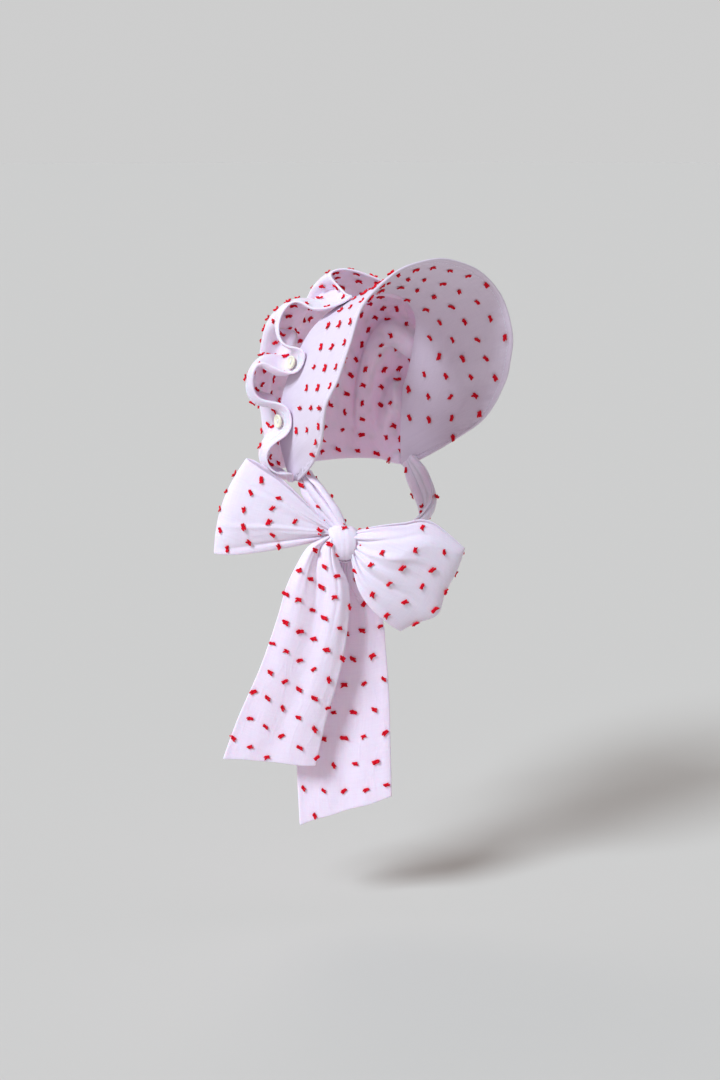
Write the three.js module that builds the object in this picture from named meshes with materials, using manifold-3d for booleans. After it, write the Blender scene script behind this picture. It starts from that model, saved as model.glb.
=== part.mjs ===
// A ruffled baby bonnet: a flared brim, a fluted crown buttoned onto it, and two wide ties knotted in a bow.
// Millimetres, +Z up. The face looks along -Y and the wearer's left is +X.
// The origin is inside the top of the crown, where the bonnet sits when it is worn.
import * as THREE from "three";
import Module from "manifold-3d";
import { mergeVertices } from "three/addons/utils/BufferGeometryUtils.js";

const wasm = await Module();
wasm.setup();

// Cloth and clearances
const BRIM_CLOTH = 2.2; // two layers of cotton over a stiff interlining
const CLOTH = 1.6; // two layers of cotton, turned right side out
const SEAT_GAP = 0.6; // between the crown's dips and the brim under them
const SLOPE_STEP = 0.004; // how far to each side a surface is read to find its slope
const WELD = 1e-4; // corners closer than this are one

// Brim: one row for each section, from the jaw corner to the top of the arch.
// along is the share of the arch; back is the edge under the crown, front the flared edge round the face.
const FLARE_POWER = 1.25; // above 1 the brim flares most near its front edge
const BRIM_COLUMNS = 48;
const BRIM_ROWS = 6;
const BRIM_SECTIONS = [
  { along: 0.0, backHalf: 57, backY: 29, backZ: -141.5, frontHalf: 58, frontY: 18, frontZ: -140 },
  { along: 0.08, backHalf: 59.5, backY: 32, backZ: -127, frontHalf: 68.3, frontY: -8.5, frontZ: -123.3 },
  { along: 0.17, backHalf: 61.5, backY: 34.5, backZ: -111, frontHalf: 81.8, frontY: -33, frontZ: -103 },
  { along: 0.32, backHalf: 62, backY: 32.5, backZ: -84.5, frontHalf: 90, frontY: -46.5, frontZ: -76 },
  { along: 0.42, backHalf: 62, backY: 26.5, backZ: -68.5, frontHalf: 87, frontY: -54.7, frontZ: -58.5 },
  { along: 0.56, backHalf: 58, backY: 16.5, backZ: -44.5, frontHalf: 81.7, frontY: -61.3, frontZ: -35 },
  { along: 0.7, backHalf: 48, backY: 6, backZ: -24, frontHalf: 68.4, frontY: -61.5, frontZ: -7 },
  { along: 0.85, backHalf: 27, backY: -1, backZ: -10, frontHalf: 38.2, frontY: -62.7, frontZ: 13.5 },
  { along: 1.0, backHalf: 0, backY: -4, backZ: -5, frontHalf: 0, frontY: -64.4, frontZ: 21 },
];

// Crown: it laps over the brim and runs back over the top to a hem at the nape, on ribs that fan out from
// the jaw corners. Each rib is the part of an ellipse above the line between the corners, bowed back at its
// sides.
const LAP_AT_JAW = 26; // how far the crown's front edge reaches onto the brim, less towards the top
const LAP_AT_TOP = 10;
const LARGEST_LAP = 0.5; // share of the brim's depth
const CORNER_HEM = 15; // width of the crown's narrow end at each jaw corner
const CROWN_DEPTH = 209; // cloth from the front edge to the nape, over the top
const CROWN_RIBS = [
  { depth: 0.167, crestY: 19, crestZ: 1, half: 59.5, bow: 14 },
  { depth: 0.33, crestY: 47, crestZ: -10, half: 60, bow: 8 },
  { depth: 0.526, crestY: 69, crestZ: -41, half: 60, bow: 2 },
  { depth: 0.74, crestY: 76, crestZ: -85, half: 59.5, bow: 0 },
  { depth: 1.0, crestY: 65, crestZ: -137, half: 58, bow: 0 },
];
const SEAM_DEPTH = 0.06; // share of the crown's depth that lies on the brim
const LAP_ROWS = 3; // rows of facets that lie on the brim, out of all the crown's rows
const CROWN_ROWS = 13;

// Flutes of the crown between its dips, from the wearer's right corner over the top to the left one.
// height stands off the crown, lean falls back from the face, skew leans towards the left corner along the
// arch, and belly swells the flute wider than its mouth. fade is how quickly it sinks towards the nape. Just
// behind the edge, puff fills it out by a share of its height and sag shifts it along the arch as skew does.
const COLUMNS_IN_FLUTE = 10;
const FLUTES = [
  { from: 0, to: 0.249, height: 18.5, lean: 6.5, skew: 3.5, belly: 2, fade: 1.2, puff: 0, sag: 0 },
  { from: 0.249, to: 0.502, height: 25, lean: 18, skew: 13, belly: 4.4, fade: 2.1, puff: 0.25, sag: -12 },
  { from: 0.502, to: 0.808, height: 23, lean: 25.5, skew: -12.5, belly: 3.7, fade: 1, puff: 0.05, sag: -9 },
  { from: 0.808, to: 1.192, height: 9, lean: 34, skew: -24, belly: 1, fade: 1.6, puff: 0, sag: 0 },
  { from: 1.192, to: 1.498, height: 23, lean: 25.5, skew: 12.5, belly: 3.7, fade: 1, puff: 0.05, sag: 9 },
  { from: 1.498, to: 1.751, height: 25, lean: 18, skew: -13, belly: 4.4, fade: 2.1, puff: 0.25, sag: 12 },
  { from: 1.751, to: 2, height: 18.5, lean: 6.5, skew: -3.5, belly: 2, fade: 1.2, puff: 0, sag: 0 },
];
const PUFF_DEPTH = 0.08; // where behind the edge the puff and the sag are largest
const HOLLOW_MIDDLE = [0, 15, -75]; // the flutes stand straight out from it

// Buttons that hold the crown's side dips down on the brim
const BUTTONED_FLUTES = [1, 2, 5, 6]; // flutes that start at a button; none is beside the top one
const BUTTON_DIAMETER = 10;
const BUTTON_THICKNESS = 2.2;
const BUTTON_FROM_EDGE = 7.5;
const BUTTON_SIDES = 14;
const BUTTON_LIFT = 1.35; // the rounded dip keeps the rim just off the cloth
const HOLE_RADIUS = 0.7;
const HOLE_FROM_MIDDLE = 1.25;
const HOLE_SIDES = 6;

// Bow: its own frame stands at the knot, +x to the wearer's front and +z up, turned to face outwards.
const BOW_AT = [-45, -14, -184.5];
const BOW_TURN = THREE.MathUtils.degToRad(-43);
const TIE_WIDTH = 70;
const KNOT = { width: 20.5, depth: 17, height: 26.5, taper: 0.78, fullness: 0.55 };
const KNOT_CREASES = 6;
const KNOT_CREASE_DEPTH = 0.05;
const KNOT_RINGS = 8;
const KNOT_SIDES = 24;

// Loops of the bow: one row for each section from the knot (0) to the fold at the end (1), as its high and
// low edges out from the knot and up. depth is how far it lies behind the knot's middle, and round is how far
// the end swells out. The front and rear layers stand off by puff and rearPuff where the loop is fullest,
// along a ridge at a share of the way from the low edge to the high one.
const LOOPS = [
  {
    name: "bow_loop_rear",
    puff: 10,
    rearPuff: 7,
    round: 6,
    ridge: 0.45,
    sections: [
      { share: 0, highOut: -10.4, highUp: 11, lowOut: -10.2, lowUp: 1, depth: 3 },
      { share: 0.3, highOut: -24, highUp: 25.5, lowOut: -26, lowUp: -0.5, depth: 4 },
      { share: 0.6, highOut: -43.5, highUp: 43.5, lowOut: -51.5, lowUp: -4.5, depth: 5 },
      { share: 0.85, highOut: -60.5, highUp: 55, lowOut: -78, lowUp: -8, depth: 5 },
      { share: 1, highOut: -69.5, highUp: 61, lowOut: -93.5, lowUp: -8, depth: 5 },
    ],
  },
  {
    name: "bow_loop_front",
    puff: 12,
    rearPuff: 5,
    round: 8,
    ridge: 0.68,
    sections: [
      { share: 0, highOut: 10.6, highUp: 7.5, lowOut: 9.9, lowUp: -9, depth: -2 },
      { share: 0.3, highOut: 23.5, highUp: 13, lowOut: 11.5, lowUp: -31, depth: -3 },
      { share: 0.6, highOut: 45, highUp: 16, lowOut: 20.5, lowUp: -46, depth: -2 },
      { share: 0.85, highOut: 67, highUp: 10, lowOut: 34, lowUp: -59, depth: 1 },
      { share: 1, highOut: 88, highUp: -4.5, lowOut: 43, lowUp: -65.5, depth: 4 },
    ],
  },
];
const NECK_SPACE = 1.5; // half the space between a loop's two layers at the knot
const LOOP_GATHERS = 2;
const GATHER_HEIGHT = 1.2;
const LOOP_COLUMNS = 26;
const LOOP_ROWS = 10;

// Tails of the bow: one row for each section, as its drop below the knot, its two edges and its depth behind
// the knot's middle. The cloth that a narrow section can't hold flat goes into its folds.
const TAILS = [
  {
    name: "bow_tail_rear",
    folds: 2,
    slant: -6,
    sections: [
      { drop: 1, low: -16, high: -9.1, depth: -6.5 },
      { drop: 14, low: -31, high: -4.5, depth: -9 },
      { drop: 30, low: -40, high: 4, depth: -9 },
      { drop: 54, low: -47, high: 4, depth: -8 },
      { drop: 92, low: -60, high: -2, depth: -6 },
      { drop: 131, low: -76.5, high: -13, depth: -5 },
      { drop: 163.5, low: -88, high: -20.5, depth: -4 },
    ],
  },
  {
    name: "bow_tail_front",
    folds: 2,
    slant: 22,
    sections: [
      { drop: 11.5, low: -5, high: 6, depth: 9.2 },
      { drop: 28, low: -11, high: 9, depth: 7 },
      { drop: 54, low: -21, high: 27, depth: 9 },
      { drop: 85, low: -29, high: 31.5, depth: 9 },
      { drop: 122, low: -33, high: 34, depth: 8 },
      { drop: 160, low: -34, high: 35, depth: 7 },
      { drop: 206, low: -32, high: 36, depth: 6 },
    ],
  },
];
const MAX_FOLD = 4;
const FOLD_EASE = 0.5; // the cloth's own softness takes up the rest of the surplus
const TAIL_COLUMNS = 12;
const TAIL_ROWS = 15;

// Straps from the jaw corners to the knot: the right one short, the left one round under the chin.
const CHIN = [0, 5, -150]; // the straps face away from it
const PLEATS = 2.5;
const PLEAT_HEIGHT = 2;
const STRAP_ROWS = 10;
const STRAPS = [
  {
    name: "strap_right",
    columns: 8,
    startHalf: 9,
    endHalf: 7.5,
    path: [
      [-53.9, 17.5, -137],
      [-53.8, 11, -147],
      [-50.5, 0.5, -159],
      [-45.2, -9.2, -171.1],
    ],
  },
  {
    name: "strap_left",
    columns: 15,
    startHalf: 9,
    endHalf: 7,
    path: [
      [54.2, 17.5, -137],
      [53, 4, -152],
      [44, -13, -165],
      [28, -25, -173],
      [5, -31, -180],
      [-16, -25, -182.5],
      [-33.3, -11.2, -182],
    ],
  },
];

const vector = (x, y, z) => new THREE.Vector3(x, y, z);

// Reads a column of a table at a place between its rows, on a smooth curve through them.
function readColumn(table, place, at, name) {
  let row = 0;
  while (row < table.length - 2 && at > table[row + 1][place]) row += 1;
  const slope = (i) => {
    const before = table[Math.max(i - 1, 0)];
    const after = table[Math.min(i + 1, table.length - 1)];
    return (after[name] - before[name]) / (after[place] - before[place]);
  };
  const start = table[row];
  const end = table[row + 1];
  const span = end[place] - start[place];
  const s = THREE.MathUtils.clamp((at - start[place]) / span, 0, 1);
  const rise = s * s * (3 - 2 * s);
  const startPull = s * (1 - s) * (1 - s) * span * slope(row);
  const endPull = s * s * (s - 1) * span * slope(row + 1);
  return start[name] * (1 - rise) + end[name] * rise + startPull + endPull;
}

// Closes a sheet of cloth, given by its middle surface on u and v from 0 to 1, into a solid wall.
function sheetSolid(middle, columns, rows, thickness) {
  const at = (i, j) => middle(i / columns, j / rows);
  const grid = [];
  for (let i = 0; i <= columns; i += 1) {
    for (let j = 0; j <= rows; j += 1) grid.push(at(i, j));
  }
  const index = (i, j) => i * (rows + 1) + j;
  const positions = [];
  for (const side of [0.5, -0.5]) {
    for (let i = 0; i <= columns; i += 1) {
      for (let j = 0; j <= rows; j += 1) {
        const left = grid[index(Math.max(i - 1, 0), j)];
        const right = grid[index(Math.min(i + 1, columns), j)];
        const front = grid[index(i, Math.max(j - 1, 0))];
        const back = grid[index(i, Math.min(j + 1, rows))];
        const normal = right.clone().sub(left).cross(back.clone().sub(front)).normalize();
        const point = grid[index(i, j)].clone().addScaledVector(normal, side * thickness);
        positions.push(...point.toArray());
      }
    }
  }
  const layer = grid.length;
  const faces = [];
  const quad = (a, b, c, d) => faces.push(a, b, c, a, c, d);
  for (let i = 0; i < columns; i += 1) {
    for (let j = 0; j < rows; j += 1) {
      const corners = [index(i, j), index(i + 1, j), index(i + 1, j + 1), index(i, j + 1)];
      quad(...corners);
      quad(...corners.map((corner) => corner + layer).reverse());
    }
  }
  const rim = (a, b) => quad(b, a, a + layer, b + layer);
  for (let i = 0; i < columns; i += 1) {
    rim(index(i, 0), index(i + 1, 0));
    rim(index(i + 1, rows), index(i, rows));
  }
  for (let j = 0; j < rows; j += 1) {
    rim(index(0, j + 1), index(0, j));
    rim(index(columns, j), index(columns, j + 1));
  }
  const geometry = new THREE.BufferGeometry();
  geometry.setAttribute("position", new THREE.Float32BufferAttribute(positions, 3));
  geometry.setIndex(faces);
  geometry.computeVertexNormals();
  return geometry;
}

// The whole arch of the brim, from the right corner (0) over the top (1) to the left corner (2).
const rightArch = BRIM_SECTIONS.map((s) => ({
  arch: s.along,
  backX: -s.backHalf,
  backY: s.backY,
  backZ: s.backZ,
  frontX: -s.frontHalf,
  frontY: s.frontY,
  frontZ: s.frontZ,
}));
const leftArch = rightArch
  .slice(0, -1)
  .reverse()
  .map((s) => ({ ...s, arch: 2 - s.arch, backX: -s.backX, frontX: -s.frontX }));
const ARCH = [...rightArch, ...leftArch];

// A point of the brim's middle surface, from its back edge (0) to its front edge (1).
function brimPoint(arch, depth) {
  const read = (name) => readColumn(ARCH, "arch", arch, name);
  const flare = depth ** FLARE_POWER;
  return vector(
    THREE.MathUtils.lerp(read("backX"), read("frontX"), flare),
    THREE.MathUtils.lerp(read("backY"), read("frontY"), depth),
    THREE.MathUtils.lerp(read("backZ"), read("frontZ"), flare),
  );
}

// The way out from the hollow at a point of a surface on arch and depth.
function outward(surface, arch, depth) {
  const right = surface(Math.max(arch - SLOPE_STEP, 0), depth);
  const left = surface(Math.min(arch + SLOPE_STEP, 2), depth);
  const front = surface(arch, Math.max(depth - SLOPE_STEP, 0));
  const back = surface(arch, Math.min(depth + SLOPE_STEP, 1));
  const normal = left.sub(right).cross(back.sub(front)).normalize();
  return normal.dot(surface(arch, depth).sub(vector(...HOLLOW_MIDDLE))) < 0 ? normal.negate() : normal;
}

// A point of the crown's rest on the brim: outside it, a distance in front of the brim's back edge.
function onBrim(arch, reach) {
  const length = brimPoint(arch, 0).distanceTo(brimPoint(arch, 1));
  const depth = Math.min(reach / length, LARGEST_LAP);
  const stand = BRIM_CLOTH / 2 + SEAT_GAP + CLOTH / 2;
  return brimPoint(arch, depth).addScaledVector(outward(brimPoint, arch, depth), stand);
}

// A point of a rib of the crown.
function ribPoint(rib, arch) {
  const corner = BRIM_SECTIONS[0];
  const along = arch <= 1 ? arch : 2 - arch;
  const start = Math.acos(corner.backHalf / rib.half);
  const angle = -start + along * (Math.PI / 2 + start);
  const rise = (Math.sin(angle) + Math.sin(start)) / (1 + Math.sin(start));
  const cornerY = corner.backY + CORNER_HEM * rib.depth;
  return vector(
    Math.sign(arch - 1) * rib.half * Math.cos(angle),
    THREE.MathUtils.lerp(cornerY, rib.crestY, rise) + 4 * rib.bow * rise * (1 - rise),
    THREE.MathUtils.lerp(corner.backZ, rib.crestZ, rise),
  );
}

// A point of the crown without its flutes, from its front edge (0) to the hem at the nape (1).
function crownBase(arch, depth) {
  const lap = THREE.MathUtils.lerp(LAP_AT_TOP, LAP_AT_JAW, Math.abs(arch - 1));
  const stops = [
    { depth: 0, point: onBrim(arch, lap) },
    { depth: SEAM_DEPTH, point: onBrim(arch, 0) },
    ...CROWN_RIBS.map((rib) => ({ depth: rib.depth, point: ribPoint(rib, arch) })),
  ].map(({ depth: place, point }) => ({ place, x: point.x, y: point.y, z: point.z }));
  const read = (name) => readColumn(stops, "place", depth, name);
  return vector(read("x"), read("y"), read("z"));
}

// A point of the fluted crown, in one flute from its first dip (0) to its second (1).
function crownPoint(flute, phase, depth) {
  const arch = THREE.MathUtils.lerp(flute.from, flute.to, phase);
  const crest = Math.sin(Math.PI * phase) ** 2;
  const fade = (1 - depth) ** flute.fade;
  const behind = (depth / PUFF_DEPTH) * Math.exp(1 - depth / PUFF_DEPTH);
  const leanBack = (flute.lean / CROWN_DEPTH) * crest * (1 - depth) ** 2;
  const at = Math.min(depth + leanBack, 1);
  const point = crownBase(arch, at);
  const before = crownBase(Math.max(arch - SLOPE_STEP, 0), at);
  const along = crownBase(Math.min(arch + SLOPE_STEP, 2), at).sub(before).normalize();
  const swell = flute.belly * Math.sin(4 * Math.PI * phase) + flute.skew * crest;
  const standing = point.clone().sub(vector(...HOLLOW_MIDDLE)).normalize();
  point.addScaledVector(standing, flute.height * crest * (fade + flute.puff * behind));
  return point.addScaledVector(along, swell * fade + flute.sag * crest * behind);
}

function brimGeometry() {
  return sheetSolid((u, v) => brimPoint(2 * u, v), BRIM_COLUMNS, BRIM_ROWS, BRIM_CLOTH);
}

function crownGeometry() {
  const lapShare = LAP_ROWS / CROWN_ROWS;
  const middle = (u, v) => {
    const place = u * FLUTES.length;
    const number = Math.min(Math.floor(place + 1e-9), FLUTES.length - 1);
    const behind = (v - lapShare) / (1 - lapShare);
    const depth = v < lapShare ? (v / lapShare) * SEAM_DEPTH : THREE.MathUtils.lerp(SEAM_DEPTH, 1, behind);
    return crownPoint(FLUTES[number], place - number, depth);
  };
  return sheetSolid(middle, FLUTES.length * COLUMNS_IN_FLUTE, CROWN_ROWS, CLOTH);
}

// A button with a raised rim and two thread holes, lying flat on its own middle, facing +z.
function buttonGeometry() {
  const radius = BUTTON_DIAMETER / 2;
  const half = BUTTON_THICKNESS / 2;
  const profile = [
    [0, -half],
    [radius * 0.8, -half],
    [radius, -half * 0.1],
    [radius * 0.94, half],
    [radius * 0.74, half],
    [radius * 0.6, half * 0.35],
    [0, half * 0.35],
  ].map(([r, z]) => new THREE.Vector2(r, z));
  const disc = solidOf(new THREE.LatheGeometry(profile, BUTTON_SIDES).rotateX(Math.PI / 2));
  const drill = new THREE.CylinderGeometry(HOLE_RADIUS, HOLE_RADIUS, BUTTON_THICKNESS * 2, HOLE_SIDES);
  const hole = solidOf(drill.rotateX(Math.PI / 2));
  const right = hole.translate([HOLE_FROM_MIDDLE, 0, 0]);
  const left = hole.translate([-HOLE_FROM_MIDDLE, 0, 0]);
  return geometryOf(disc.subtract(right).subtract(left));
}

function solidOf(geometry) {
  const bare = geometry.clone();
  bare.deleteAttribute("normal");
  bare.deleteAttribute("uv");
  const welded = mergeVertices(bare, WELD);
  const mesh = new wasm.Mesh({
    numProp: 3,
    vertProperties: new Float32Array(welded.attributes.position.array),
    triVerts: new Uint32Array(welded.index.array),
  });
  mesh.merge();
  return new wasm.Manifold(mesh);
}

function geometryOf(solid) {
  const mesh = solid.getMesh();
  const geometry = new THREE.BufferGeometry();
  geometry.setAttribute("position", new THREE.Float32BufferAttribute(mesh.vertProperties, 3));
  geometry.setIndex(Array.from(mesh.triVerts));
  geometry.computeVertexNormals();
  return geometry;
}

// Height of the folds that a width of cloth needs to lie within a narrower space.
function foldHeight(cloth, space, folds) {
  const surplus = Math.max(cloth / space, 1) ** 2 - 1;
  return (space / (Math.PI * folds)) * Math.sqrt(surplus / 2) * FOLD_EASE;
}

// A tail of the bow: u runs down it, v across it from its low edge to its high one.
function tailGeometry(tail) {
  const { sections, folds, slant } = tail;
  const top = sections[0].drop;
  const bottom = sections.at(-1).drop;
  const middle = (u, v) => {
    const drop = THREE.MathUtils.lerp(top, bottom, u);
    const read = (name) => readColumn(sections, "drop", drop, name);
    const space = read("high") - read("low");
    const height = Math.min(foldHeight(TIE_WIDTH, space, folds), MAX_FOLD);
    const fold = height * Math.cos(2 * Math.PI * folds * v);
    const cut = slant * (v - 0.5) * u ** 3;
    return vector(read("low") + space * v, read("depth") + fold, cut - drop);
  };
  return sheetSolid(middle, TAIL_ROWS, TAIL_COLUMNS, CLOTH);
}

// A loop of the bow: u runs out along its front layer, round the fold and back along its rear layer.
function loopGeometry(loop) {
  const { sections, puff, rearPuff, round, ridge } = loop;
  const lopsided = Math.log(0.5) / Math.log(ridge);
  const middle = (u, v) => {
    const share = Math.sin(Math.PI * u);
    const read = (name) => readColumn(sections, "share", share, name);
    const low = vector(read("lowOut"), 0, read("lowUp"));
    const high = vector(read("highOut"), 0, read("highUp"));
    const swell = Math.sin(Math.PI * v ** lopsided);
    const ahead = high.clone().sub(low).normalize().cross(vector(0, Math.sign(low.x), 0));
    const layer = Math.sin(2 * Math.PI * u) * (u < 0.5 ? puff : rearPuff) * (0.5 + 0.5 * swell);
    const neck = NECK_SPACE * Math.cos(Math.PI * u) * (1 - share);
    const gather = GATHER_HEIGHT * (1 - share) ** 2 * Math.cos(2 * Math.PI * LOOP_GATHERS * v);
    const point = low.lerp(high, v).addScaledVector(ahead, -4 * round * v * (1 - v) * share ** 3);
    point.y = read("depth") - layer - neck + gather;
    return point;
  };
  return sheetSolid(middle, LOOP_COLUMNS, LOOP_ROWS, CLOTH);
}

// The knot: a soft barrel, narrower below, with the creases of the cloth wound round it.
function knotGeometry() {
  const { width, depth, height, taper, fullness } = KNOT;
  const rings = KNOT_RINGS;
  const sides = KNOT_SIDES;
  const positions = [];
  const faces = [];
  const ringPoint = (level, turn) => {
    const slope = Math.PI * (level / rings - 0.5);
    const girth = Math.max(Math.cos(slope), 0) ** fullness;
    const narrow = THREE.MathUtils.lerp(taper, 1, level / rings);
    const angle = (2 * Math.PI * turn) / sides;
    const crease = 1 + KNOT_CREASE_DEPTH * Math.cos(KNOT_CREASES * angle);
    return [
      (width / 2) * girth * narrow * crease * Math.cos(angle),
      (depth / 2) * girth * narrow * crease * Math.sin(angle),
      (height / 2) * Math.sin(slope),
    ];
  };
  positions.push(0, 0, -height / 2);
  for (let level = 1; level < rings; level += 1) {
    for (let turn = 0; turn < sides; turn += 1) positions.push(...ringPoint(level, turn));
  }
  positions.push(0, 0, height / 2);
  const at = (level, turn) => 1 + (level - 1) * sides + (turn % sides);
  const last = 1 + (rings - 1) * sides;
  for (let turn = 0; turn < sides; turn += 1) {
    faces.push(0, at(1, turn + 1), at(1, turn));
    for (let level = 1; level < rings - 1; level += 1) {
      faces.push(at(level, turn), at(level, turn + 1), at(level + 1, turn + 1));
      faces.push(at(level, turn), at(level + 1, turn + 1), at(level + 1, turn));
    }
    faces.push(last, at(rings - 1, turn), at(rings - 1, turn + 1));
  }
  const geometry = new THREE.BufferGeometry();
  geometry.setAttribute("position", new THREE.Float32BufferAttribute(positions, 3));
  geometry.setIndex(faces);
  geometry.computeVertexNormals();
  return geometry;
}

// A strap from a jaw corner of the brim to the knot, folded into pleats along its whole length.
function strapGeometry(strap) {
  const path = new THREE.CatmullRomCurve3(strap.path.map((point) => vector(...point)), false, "centripetal");
  const middle = (u, v) => {
    const way = path.getTangentAt(u);
    const facing = path.getPointAt(u).sub(vector(...CHIN));
    facing.addScaledVector(way, -way.dot(facing)).normalize();
    const side = way.clone().cross(facing);
    const half = THREE.MathUtils.lerp(strap.startHalf, strap.endHalf, u);
    const pleat = PLEAT_HEIGHT * Math.cos(2 * Math.PI * PLEATS * v);
    return path.getPointAt(u).addScaledVector(side, half * (2 * v - 1)).addScaledVector(facing, pleat);
  };
  return sheetSolid(middle, strap.columns, STRAP_ROWS, CLOTH);
}

const cotton = new THREE.MeshStandardMaterial({ color: 0xece4f4, roughness: 0.9, metalness: 0 });
const buttonShell = new THREE.MeshStandardMaterial({ color: 0xefe8dc, roughness: 0.35, metalness: 0 });

const bonnet = new THREE.Group();
function addPiece(parent, name, geometry, material) {
  const mesh = new THREE.Mesh(geometry, material);
  mesh.name = name;
  parent.add(mesh);
  return mesh;
}

addPiece(bonnet, "brim", brimGeometry(), cotton);
addPiece(bonnet, "crown", crownGeometry(), cotton);

BUTTONED_FLUTES.map((place) => FLUTES[place]).forEach((flute, number) => {
  const depth = BUTTON_FROM_EDGE / CROWN_DEPTH;
  const facing = outward(crownBase, flute.from, depth);
  const stand = CLOTH / 2 + BUTTON_LIFT + BUTTON_THICKNESS / 2;
  const button = addPiece(bonnet, `button_${number + 1}`, buttonGeometry(), buttonShell);
  button.position.copy(crownBase(flute.from, depth)).addScaledVector(facing, stand);
  button.quaternion.setFromUnitVectors(vector(0, 0, 1), facing);
});

STRAPS.forEach((strap) => addPiece(bonnet, strap.name, strapGeometry(strap), cotton));

const bow = new THREE.Group();
bow.position.set(...BOW_AT);
bow.rotation.z = BOW_TURN;
bonnet.add(bow);
addPiece(bow, "bow_knot", knotGeometry(), cotton);
LOOPS.forEach((loop) => addPiece(bow, loop.name, loopGeometry(loop), cotton));
TAILS.forEach((tail) => addPiece(bow, tail.name, tailGeometry(tail), cotton));

export default bonnet;
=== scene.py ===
# A ruffled baby bonnet in clip-dot cotton: a brim, a fluted crown, buttons, and two ties knotted in a bow.
# Shapes are worked out in millimetres, +Z up, and turned to metres when a mesh is made.
import math

import bpy
import numpy as np
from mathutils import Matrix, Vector


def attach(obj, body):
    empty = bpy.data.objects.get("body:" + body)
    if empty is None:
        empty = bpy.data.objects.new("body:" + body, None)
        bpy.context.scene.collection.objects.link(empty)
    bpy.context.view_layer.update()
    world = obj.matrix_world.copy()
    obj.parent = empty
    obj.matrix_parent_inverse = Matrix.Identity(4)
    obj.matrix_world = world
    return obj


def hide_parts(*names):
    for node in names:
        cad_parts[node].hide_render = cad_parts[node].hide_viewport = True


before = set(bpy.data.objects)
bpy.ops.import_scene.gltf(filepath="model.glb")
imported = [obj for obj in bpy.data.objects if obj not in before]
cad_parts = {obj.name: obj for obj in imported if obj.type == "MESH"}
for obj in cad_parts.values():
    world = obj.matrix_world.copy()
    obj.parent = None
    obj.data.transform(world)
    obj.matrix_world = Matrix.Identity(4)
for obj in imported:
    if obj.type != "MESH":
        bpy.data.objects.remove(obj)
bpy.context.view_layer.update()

METRE = 0.001

# Camera at the photograph's viewing angle
VIEW_AZIMUTH = math.radians(-43)
VIEW_ELEVATION = math.radians(11)
VIEW_TARGET = np.array([-7.7, 7.2, -190.0])
VIEW_DISTANCE = 1500
LENS = 66.67
SENSOR = 36

# Cloth walls, two layers turned right side out, and the frame's walls that set where the layers rest
BRIM_CLOTH = 1.7
CROWN_CLOTH = 1.3
TIE_CLOTH = 1.1
CAD_BRIM_CLOTH = 2.2
CAD_CROWN_CLOTH = 1.6
SEAT_GAP = 0.6
ROUND_EDGE = (0.25, 0.5, 0.75)

# Brim sections from the jaw corner to the top of the arch: place, half width, y and z behind and in front
FLARE_POWER = 1.25
BRIM_SECTIONS = [
    (0.0, 57, 29, -141.5, 58, 18, -140),
    (0.08, 59.5, 32, -127, 68.3, -8.5, -123.3),
    (0.17, 61.5, 34.5, -111, 81.8, -33, -103),
    (0.32, 62, 32.5, -84.5, 90, -46.5, -76),
    (0.42, 62, 26.5, -68.5, 87, -54.7, -58.5),
    (0.56, 58, 16.5, -44.5, 81.7, -61.3, -35),
    (0.7, 48, 6, -24, 68.4, -61.5, -7),
    (0.85, 27, -1, -10, 38.2, -62.7, 13.5),
    (1.0, 0, -4, -5, 0, -64.4, 21),
]

# Crown, and how it laps over the brim
LAP_AT_JAW = 26
LAP_AT_TOP = 10
LARGEST_LAP = 0.5
SLOPE_STEP = 0.004
CORNER_HEM = 15
CROWN_DEPTH = 209
SEAM_DEPTH = 0.06
PUFF_DEPTH = 0.08
HOLLOW_MIDDLE = np.array([0.0, 15.0, -75.0])
# Ribs over the top: depth, y and z of the crest, half width and bow
CROWN_RIBS = [
    (0.167, 19, 1, 59.5, 14),
    (0.33, 47, -10, 60, 8),
    (0.526, 69, -41, 60, 2),
    (0.74, 76, -85, 59.5, 0),
    (1.0, 65, -137, 58, 0),
]
# Flutes between the dips: start, end, height, lean, skew, belly, fade, puff and sag
FLUTES = [
    (0, 0.249, 18.5, 6.5, 3.5, 2, 1.2, 0, 0),
    (0.249, 0.502, 25, 18, 13, 4.4, 2.1, 0.25, -12),
    (0.502, 0.808, 23, 25.5, -12.5, 3.7, 1, 0.05, -9),
    (0.808, 1.192, 9, 34, -24, 1, 1.6, 0, 0),
    (1.192, 1.498, 23, 25.5, 12.5, 3.7, 1, 0.05, 9),
    (1.498, 1.751, 25, 18, -13, 4.4, 2.1, 0.25, 12),
    (1.751, 2, 18.5, 6.5, -3.5, 2, 1.2, 0, 0),
]

# Buttons in the side dips of the crown's edge: the flutes that start at one
BUTTONED_FLUTES = [1, 2, 5, 6]
BUTTON_DIAMETER = 10
BUTTON_THICKNESS = 2.2
BUTTON_FROM_EDGE = 7.5
BUTTON_LIFT = 1.35

# Bow, in a frame of its own that stands at the knot
BOW_AT = np.array([-45.0, -14.0, -184.5])
BOW_TURN = math.radians(-43)
TIE_WIDTH = 70
KNOT_WIDTH = 20.5
KNOT_DEPTH = 17
KNOT_HEIGHT = 25
KNOT_TAPER = 0.64
KNOT_SHIFT = 1.6
NECK_SPACE = 1.5
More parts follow.
